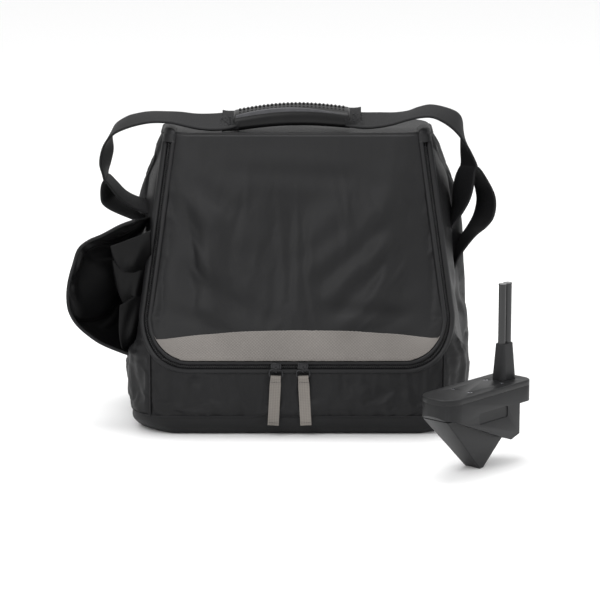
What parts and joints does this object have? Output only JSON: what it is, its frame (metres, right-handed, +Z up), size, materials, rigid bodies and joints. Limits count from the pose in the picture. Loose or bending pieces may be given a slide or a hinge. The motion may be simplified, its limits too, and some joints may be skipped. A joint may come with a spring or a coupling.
{
  "type": "portable sonar outfit",
  "caption": "Soft zip-front carry bag with a sloped opening flap, top grip, looped webbing strap and side pouch, with a wedge-shaped sonar head on a tapered boot and short stem.",
  "frame": {"origin": "on the floor, at the middle of the bag's underside between its sides and on its hinge-to-back datum line", "axes": "+X to the right seen from the zip front, +Y to the back, +Z up"},
  "size_m": [0.4583, 0.3773, 0.3199],
  "materials": {
    "shell_fabric": "woven, low sheen",
    "trim_fabric": "fine mesh weave",
    "webbing": "ribbed webbing",
    "zip_tape": "knitted tape with coil teeth",
    "zip_metal": "gloss black",
    "pull_webbing": "grey ribbed webbing",
    "grip_rubber": "satin, ribbed",
    "foam": "closed cell foam",
    "board_plastic": "moulded, matte",
    "battery_case": "moulded, matte",
    "terminal_metal": "plain",
    "head_plastic": "satin moulded",
    "boot_rubber": "matte",
    "rod_plastic": "gloss black",
    "screw_steel": "bright",
    "insert_brass": "turned",
    "seal_rubber": "matte",
    "circuit_board": "solder mask",
    "array_ceramic": "fired, matte",
    "backing_epoxy": "cast",
    "spreader_aluminium": "milled",
    "ribbon_film": "polyimide film"
  },
  "bodies": {
    "bag": {"base_cup": "shell_fabric", "front_band": "shell_fabric", "back_panel": "shell_fabric", "left_side_panel": "shell_fabric", "right_side_panel": "shell_fabric", "top_panel": "shell_fabric", "body_zip_tape": "zip_tape", "body_binding": "webbing", "left_side_loop": "webbing", "right_side_loop": "webbing", "strap_patches": "webbing", "side_pouch": "shell_fabric", "pouch_binding": "webbing", "base_board": "board_plastic", "floor_pad": "foam", "back_pad": "foam", "power_tray": "board_plastic", "battery": "battery_case", "battery_terminals": "terminal_metal", "battery_band": "webbing"},
    "flap": {"flap_panel": "shell_fabric", "flap_zip_tape": "zip_tape", "flap_binding": "webbing", "trim_panel": "trim_fabric"},
    "left_slider_body": {"left_slider": "zip_metal"},
    "right_slider_body": {"right_slider": "zip_metal"},
    "left_pull": {"left_pull_ring": "zip_metal", "left_pull_tab": "pull_webbing"},
    "right_pull": {"right_pull_ring": "zip_metal", "right_pull_tab": "pull_webbing"},
    "strap": {"left_strap": "webbing", "right_strap": "webbing", "grip_cover": "grip_rubber", "grip_core": "foam"},
    "sonar_head": {"deck_cover": "head_plastic", "deck_gasket": "seal_rubber", "head_housing": "head_plastic", "wedge_housing": "head_plastic", "forward_array": "array_ceramic", "forward_backing": "backing_epoxy", "down_array": "array_ceramic", "down_backing": "backing_epoxy", "deck_screws": "screw_steel", "screw_inserts": "insert_brass", "cable_boot": "boot_rubber", "stem_cable": "boot_rubber", "stem_rod": "rod_plastic", "gland_nut": "insert_brass", "cable_seal": "seal_rubber", "stem_end": "rod_plastic", "circuit_board": "circuit_board", "board_screws": "screw_steel", "board_standoffs": "screw_steel", "heading_sensor": "backing_epoxy", "heat_spreader": "spreader_aluminium", "ribbon_cable": "ribbon_film"}
  },
  "joints": [
    {"name": "flap_hinge", "type": "hinge", "parent": "bag", "child": "flap", "pos_m": [0, -0.00506, 0.286], "axis": [-1, 0, 0], "range_deg": [0, 120]},
    {"name": "left_slider_travel", "type": "slide", "parent": "bag", "child": "left_slider_body", "axis": [-1, 0, 0], "range_m": [0, 0.08]},
    {"name": "right_slider_travel", "type": "slide", "parent": "bag", "child": "right_slider_body", "axis": [1, 0, 0], "range_m": [0, 0.095]},
    {"name": "left_pull_swing", "type": "hinge", "parent": "left_slider_body", "child": "left_pull", "pos_m": [-0.021, -0.1136, 0.0695], "axis": [-1, 0, 0], "range_deg": [0, 100]},
    {"name": "right_pull_swing", "type": "hinge", "parent": "right_slider_body", "child": "right_pull", "pos_m": [0.006, -0.1136, 0.0695], "axis": [-1, 0, 0], "range_deg": [0, 100]},
    {"name": "strap_lift", "type": "slide", "parent": "bag", "child": "strap", "axis": [0, 0, 1], "range_m": [0, 0.06]},
    {"name": "head_lift", "type": "slide", "parent": "bag", "child": "sonar_head", "axis": [0, 0, 1], "range_m": [0, 0.25]}
  ]
}
